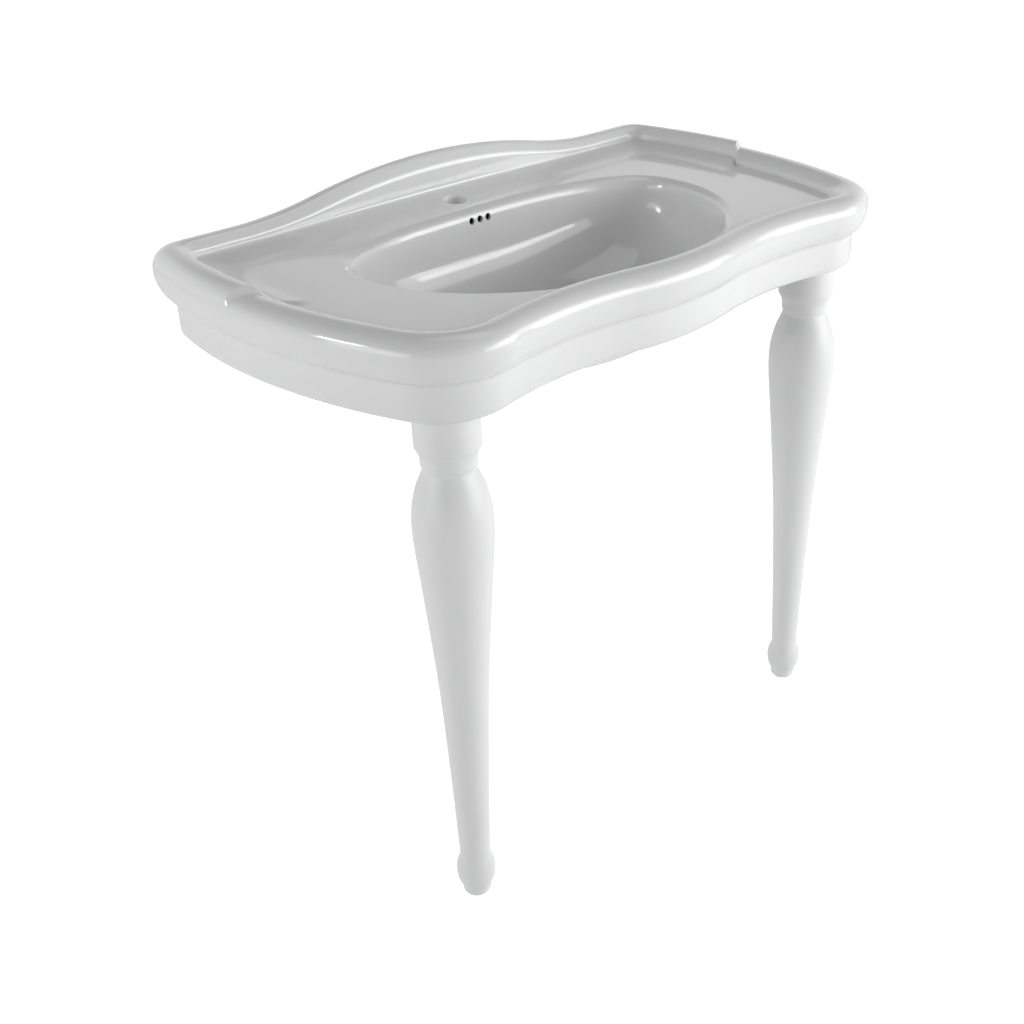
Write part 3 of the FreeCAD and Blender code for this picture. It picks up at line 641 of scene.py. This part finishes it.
def under_rings():
    """From the outlet's lower edge up round the bowl, under the deck and down inside the skirt."""
    boss_z = FLOOR_Z - BOSS_LONG
    rings = [outlet_ring(OUTLET_R, boss_z), outlet_ring(BOSS_R - BOSS_EDGE, boss_z),
             outlet_ring(BOSS_R, boss_z + BOSS_EDGE), outlet_ring(BOSS_R, FLOOR_Z - BOSS_TOP),
             outlet_ring(BOSS_R + BOSS_FILLET, FLOOR_Z - BOSS_TOP + BOSS_FILLET_UP)]
    rings += bowl_rings(BOWL_WALL, 90.0, 0.0, BOWL_UNDER_RINGS)
    rings.append([(x, y, UNDER_DECK - FLARE_DOWN) for x, y, _ in rings[-1]])
    flare = oval_ring(*(lip - LIP_IN + BOWL_WALL_FLARE for lip in BOWL_LIP), BOWL_Y, UNDER_DECK)
    inner = SKIRT_IN + SKIRT_WALL
    under = wall_ring(inner + UNDER_FILLET, UNDER_DECK, SKIRT_WALL + UNDER_FILLET, UNDER_ROUND)
    rings += [flare] + between_rings(flare, under, (0.33, 0.66, 1.0), UNDER_DECK)
    rings += [wall_ring(inner, height, SKIRT_WALL, INNER_ROUND)
              for height in (UNDER_DECK - UNDER_FILLET, *INNER_ROWS)]
    rings += [wall_ring(inner - out, SKIRT_LOW + up, SKIRT_WALL - out, INNER_ROUND + wider)
              for out, up, wider in INNER_EDGE]
    return rings


def outer_rings():
    """Round the skirt's lower edge, up the skirt and its cove, and round under the roll."""
    rings = [wall_ring(SKIRT_IN + SKIRT_EDGE, SKIRT_LOW, EDGE_OFF_WALL, OUTER_ROUND)]
    for step in range(1, SKIRT_EDGE_STEPS + 1):
        turn = step / SKIRT_EDGE_STEPS * math.pi / 2
        rings.append(wall_ring(SKIRT_IN + SKIRT_EDGE * (1 - math.sin(turn)),
                               SKIRT_LOW + SKIRT_EDGE * (1 - math.cos(turn)), 0.0, OUTER_ROUND))
    rings += [wall_ring(SKIRT_IN, height, 0.0, OUTER_ROUND) for height in SKIRT_ROWS]
    rings += [wall_ring(inset, height, 0.0, OUTER_ROUND + COVE_WIDENS * (SKIRT_IN - inset))
              for inset, height in COVE]
    for step in range(UNDER_ROLL_FIRST, UNDER_ROLL_RINGS + 1):
        turn = step / UNDER_ROLL_RINGS * math.pi / 2
        inset = SKIRT_IN * (1 - math.sin(turn))
        height = SKIRT_HIGH + (WIDEST_Z - SKIRT_HIGH) * (1 - math.cos(turn))
        rings.append(wall_ring(inset, height, 0.0, BACK_ROUND + ROLL_WIDENS * inset))
    return rings


def top_rings():
    """Over the roll, down its face, across the deck, over the lip and down to the outlet."""
    rings = [rim_ring(kind, step / count) for kind, count in
             (("roll", ROLL_RINGS), ("face", FACE_RINGS), ("foot", FOOT_RINGS))
             for step in range(1, count + 1)]
    lip_rings = [oval_ring(*(lip - inset for lip in BOWL_LIP), BOWL_Y, DECK - drop)
                 for inset, drop in LIP_PROFILE]
    rings += between_rings(rings[-1], lip_rings[0], DECK_SHARES, deck_height(0.0)) + lip_rings
    rings += bowl_rings(0.0, 0.0, 90.0, BOWL_RINGS)
    edge = [outlet_ring(OUTLET_R + wider, FLOOR_Z - down) for wider, down in OUTLET_EDGE]
    rings += between_rings(rings[-1], edge[0], (0.25, 0.5, 0.75), FLOOR_Z)
    return rings + edge


def ring_mesh(name, rings, closed=False):
    """A skin over a row of rings, in metres: closed on its first ring, or capped at both ends."""
    count = len(rings[0])
    points = [(x / 1000, y / 1000, z / 1000) for ring in rings for x, y, z in ring]
    faces = []
    for row in range(len(rings) if closed else len(rings) - 1):
        low, high = row * count, (row + 1) % len(rings) * count
        for k in range(count):
            after = (k + 1) % count
            faces.append((low + k, low + after, high + after, high + k))
    if not closed:
        faces += [tuple(range(count)),
                  tuple(range(len(points) - 1, len(points) - count - 1, -1))]
    mesh = bpy.data.meshes.new(name)
    mesh.from_pydata(points, [], faces)
    weld(mesh, 1e-6)
    return in_scene(name, mesh)


def circle(radius, height, middle=(0.0, 0.0), sides=72):
    """A level ring of points."""
    ring = []
    for k in range(sides):
        x, y = on_arc(middle[0], middle[1], radius, 2 * math.pi * k / sides)
        ring.append((x, y, height_at(height, x, y)))
    return ring


def level_cylinder(name, radius, x, height, start_y, end_y):
    """A cutter that runs towards the wall."""
    rings = [[(x + a, y, height + b) for a, b, _ in circle(radius, 0.0, sides=40)]
             for y in (start_y, end_y)]
    return ring_mesh(name, rings)


def joined(pieces, name):
    """Several meshes as one object."""
    union = bmesh.new()
    for piece in pieces:
        union.from_mesh(piece.data)
        bpy.data.objects.remove(piece)
    mesh = bpy.data.meshes.new(name)
    union.to_mesh(mesh)
    union.free()
    return in_scene(name, mesh)


def cut(piece, cutters, name):
    """The piece with the cutters' space taken out of it."""
    tool = joined(cutters, name + "_cutters")
    step = piece.modifiers.new("cut", "BOOLEAN")
    step.operation = "DIFFERENCE"
    step.solver = "EXACT"
    step.object = tool
    made = made_real(piece, name)
    bpy.data.objects.remove(tool)
    return made


# the openings: cutters start and end a little outside the china
TAP_Y, TAP_R, TAP_LOW, TAP_HIGH = 202.0, 16.0, 835.0, 880.0
TAP_EDGE = ((0.0, -1.0), (0.15, -0.5), (0.5, -0.12), (1.0, 0.06))  # wider, and above the deck
OVERFLOW_Z, OVERFLOW_R, OVERFLOW_PITCH = 840.5, 5.1, 16.0
OVERFLOW_START_Y, OVERFLOW_END_Y = 136.0, 168.0
WALL_HOLE_R, WALL_HOLE_X, WALL_HOLE_Z = 11.0, 140.0, 806.0
WALL_HOLE_START_Y, WALL_HOLE_END_Y = 255.0, 290.0
# the ledges over the legs: free edges at LEDGE_X and LEDGE_Y, the rest inside the skirt's wall
LEDGE_LOW, LEDGE_HIGH = 773.0, 791.0
LEDGE_X, LEDGE_Y, LEDGE_IN = 303.7, -122.0, 29.0
STUD_HOLE_R, STUD_HOLE_PAST = 9.0, 5.0
# the overflow's duct, between two skins that lie this far outside the bowl
DUCT_HALF, DUCT_INNER, DUCT_OUTER, DUCT_FROM_OUTLET = 28.5, 11.0, 24.0, 26.0
DUCT_INTO_DECK, DUCT_STEPS = 1.0, 18


def ledge(flip):
    """The shelf inside a front corner that rests on a leg, with its stud hole."""
    edge = [plan_point(column, LEDGE_IN, 0.0, 3.0) for column in COLUMNS if column[0] == 1]
    edge = [(x, y) for x, y in edge if x > LEDGE_X and y < LEDGE_Y]
    edge = [(edge[0][0], LEDGE_Y)] + edge + [(LEDGE_X, edge[-1][1]), (LEDGE_X, LEDGE_Y)]
    block = ring_mesh("ledge", [[(flip * x, y, z) for x, y in edge]
                                for z in (LEDGE_LOW, LEDGE_HIGH)])
    centre = (flip * LEG_AXIS_X * 1000, LEG_AXIS_Y * 1000)
    hole = ring_mesh("stud_hole", [circle(STUD_HOLE_R, z, centre, 48) for z in
                                   (LEDGE_LOW - STUD_HOLE_PAST, LEDGE_HIGH + STUD_HOLE_PAST)])
    return cut(block, [hole], "ledge")


def overflow_holes():
    return [level_cylinder("overflow", OVERFLOW_R, place * OVERFLOW_PITCH, OVERFLOW_Z,
                           OVERFLOW_START_Y, OVERFLOW_END_Y) for place in (-1, 0, 1)]


def duct_skin(grow, x):
    """The bowl's grown section behind the outlet, at one distance from the middle."""
    line = [(OUTLET_Y + DUCT_FROM_OUTLET, FLOOR_Z - grow)]
    for step in range(DUCT_STEPS + 1):
        turn = math.pi / 2 * (1 - step / DUCT_STEPS)
        half, _, reach, middle_y, height, round_off = bowl_section(turn, grow)
        power = part_way(BACK_POWER, 2.0, round_off)
        line.append((middle_y + reach * (1 - (abs(x) / half) ** power) ** (1 / power), height))
    return line + [(line[-1][0], UNDER_DECK + DUCT_INTO_DECK)]


def duct():
    """The overflow's covered channel behind the bowl, with the ends of the three holes."""
    rings = []
    for x in (-DUCT_HALF, -DUCT_HALF / 2, 0.0, DUCT_HALF / 2, DUCT_HALF):
        line = duct_skin(DUCT_INNER, x) + duct_skin(DUCT_OUTER, x)[::-1]
        rings.append([(x, y, z) for y, z in line])
    return cut(ring_mesh("duct", rings), overflow_holes(), "duct")


SHARP_ANGLE = 33  # degrees; a steeper edge between two faces is shown crisp

tap_middle = (0, TAP_Y)
tap_rings = [circle(TAP_R, TAP_LOW, tap_middle)]
tap_rings += [circle(TAP_R + wider, deck_height(above), tap_middle) for wider, above in TAP_EDGE]
tap_rings += [circle(TAP_R + TAP_EDGE[-1][0], TAP_HIGH, tap_middle)]
tap_hole = ring_mesh("tap_hole", tap_rings)
wall_holes = [level_cylinder("wall_hole", WALL_HOLE_R, flip * WALL_HOLE_X, WALL_HOLE_Z,
                             WALL_HOLE_START_Y, WALL_HOLE_END_Y) for flip in (-1, 1)]
casting = ring_mesh("basin_shell", under_rings() + outer_rings() + top_rings(), closed=True)
shell = cut(casting, [tap_hole] + overflow_holes() + wall_holes, "shell")
basin = joined([shell, ledge(-1), ledge(1), duct()], "basin_glazed")
for face in basin.data.polygons:
    face.use_smooth = True
basin.data.set_sharp_from_angle(angle=math.radians(SHARP_ANGLE))

# painted shade inside the overflow holes: the white glaze is painted near black in a box behind the
# bowl's wall, in metres
DARK_FROM_Y, DARK_FULL_Y, DARK_END_Y = 0.1506, 0.1528, 0.172
DARK_LOW_Z, DARK_HIGH_Z, DARK_HALF = 0.8348, 0.8462, 0.0225

china = Finish("basin_glaze")
china_cloud = china.noise(6.0, 3.0)
china_pool = china.noise(30.0, 2.0)
china_ripple = china.noise(11.0, 1.0) + 0.06 * china.noise(150.0, 2.0)
china_spot = china.node("ShaderNodeSeparateXYZ", None, {0: china.place()})
china_x, china_y, china_z = (Wire(china, output) for output in china_spot.socket.node.outputs)
# painted shade: a mask that is 1 inside the overflow holes' box, where the base colour is painted
# near black
hole_painted_shade = china.node("ShaderNodeMapRange", None,
                     {0: china_y, 1: DARK_FROM_Y, 2: DARK_FULL_Y, 3: 0.0, 4: 1.0})
hole_painted_shade = hole_painted_shade * (DARK_END_Y - china_y > 0.0) * (DARK_HIGH_Z - china_z > 0.0)
hole_painted_shade = hole_painted_shade * (china_z - DARK_LOW_Z > 0.0)
hole_painted_shade = hole_painted_shade * (DARK_HALF - china_x.maths("ABSOLUTE", china_x, 0.0) > 0.0)
china_white = china.between(china_cloud, GLAZE_SHADE, GLAZE_WHITE)
# the base colour goes near black where the holes' painted shade falls
china.surface(Base_Color=china.between(hole_painted_shade, china_white, (0.02, 0.02, 0.02, 1)),
              Roughness=0.07 + 0.05 * china_pool,
              IOR=1.52,
              Coat_Weight=0.35,
              Coat_Roughness=0.06,
              Normal=china.bump(china_ripple, 0.0003, 0.12))
china.cover(basin)
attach(basin, "root")
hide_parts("basin")

# ---------------------------------------------------------------------------
# Floor and light. A white studio cove whose floor is lost in the background.
# Large soft lamps stand at the left and the front right, two narrow ones draw
# the highlights on the rim, and a weak one hangs above.

PAPER_HALF = 9  # metres

floor_mesh = bpy.data.meshes.new("studio_floor")
floor_mesh.from_pydata([(x * PAPER_HALF, y * PAPER_HALF, 0)
                        for x, y in ((-1, -1), (1, -1), (1, 1), (-1, 1))], [], [(0, 1, 2, 3)])
studio_floor = in_scene("studio_floor", floor_mesh)
paper = Finish("studio_paper")
seen = paper.node("ShaderNodeLightPath", out="Is Camera Ray")
seen = seen + 0.4 * paper.node("ShaderNodeLightPath", out="Is Glossy Ray")
paper_grain = paper.noise(3.0)
paper.surface(Base_Color=paper.between(paper_grain, (0.87, 0.87, 0.87, 1), (0.90, 0.90, 0.90, 1)),
              Roughness=0.9 + 0.05 * paper_grain,
              Specular_IOR_Level=0.0,
              Normal=paper.bump(paper_grain, 0.0002, 0.1),
              Emission_Color=paper.between(seen, (0, 0, 0, 1), (1, 1, 1, 1)),
              Emission_Strength=0.80)
paper.cover(studio_floor)

# The sky is white where the camera sees it. As a light it is brightest low
# down, and is dimmed on the camera's side.
SKY_STOPS = ((0.36, 0.90), (0.50, 0.42), (0.80, 0.14))  # place from low to high, and its grey
CAMERA_SIDE = (-0.7071, -0.7071, 0.0)

sky = Finish("studio", bpy.data.worlds)
bpy.context.scene.world = sky.holder
bearing = sky.place()
dome = sky.node("ShaderNodeValToRGB", None,
                {0: sky.node("ShaderNodeSeparateXYZ", None, {0: bearing}, out=2)})
stops = dome.socket.node.color_ramp.elements
stops.new(SKY_STOPS[1][0])
for stop, (place, grey) in zip(stops, SKY_STOPS):
    stop.position, stop.color = place, (grey, grey, grey, 1)
toward = sky.node("ShaderNodeVectorMath", {"operation": "DOT_PRODUCT"},
                  {0: bearing, 1: CAMERA_SIDE}, out="Value")
dimming = sky.node("ShaderNodeMapRange", None, {0: toward, 1: 0.1, 2: 0.95, 3: 1.0, 4: 0.36})
dimmed = sky.node("ShaderNodeVectorMath", {"operation": "SCALE"}, {0: dome, "Scale": dimming})
camera_ray = sky.node("ShaderNodeLightPath", out="Is Camera Ray")
backdrop = sky.node("ShaderNodeBackground", None,
                    {0: sky.between(camera_ray, dimmed, (1.0, 1.0, 1.0, 1))})
sky.node("ShaderNodeOutputWorld", None, {0: backdrop})

LAMPS = (  # name, place, aimed at, width, height, power in watts
    ("left_softbox", (-4.4, 0.2, 0.9), (-0.1, 0.0, 0.5), 3.0, 2.4, 45.0),
    ("left_strip", (-2.85, 0.93, 1.7), (-0.2, 0.0, 0.8), 0.6, 0.45, 8.0),
    ("front_softbox", (2.3, -3.8, 0.7), (0.1, 0.0, 0.4), 3.8, 2.0, 76.0),
    ("right_strip", (1.85, -2.3, 1.6), (0.0, 0.0, 0.8), 1.6, 0.3, 6.5),
    ("right_halo", (1.95, -2.4, 1.7), (0.0, 0.0, 0.8), 2.7, 1.5, 21.0),
    ("top_softbox", (0.7, 0.1, 3.2), (0.3, 0.0, 0.8), 1.6, 1.2, 5.5))
for name, place, aim, width, height, power in LAMPS:
    light = bpy.data.lights.new(name, "AREA")
    light.shape = "RECTANGLE"
    light.size, light.size_y, light.energy = width, height, power
    lamp = in_scene(name, light)
    lamp.location = place
    aim_line = mathutils.Vector(aim) - mathutils.Vector(place)
    lamp.rotation_euler = aim_line.to_track_quat("-Z", "Y").to_euler()

# the camera stands at the left front, a little above the rim, with its lens shifted sideways
lens = bpy.data.cameras.new("photo_camera")
lens.lens, lens.sensor_width, lens.shift_x = 49.95, 36.0, -0.1141
camera = in_scene("photo_camera", lens)
camera.location = (-1.36628, -1.38806, 1.45704)
camera.rotation_euler = (math.radians(61.562), 0.0, math.radians(-47.759))
bpy.context.scene.camera = camera
bpy.context.scene.view_settings.view_transform = "Standard"
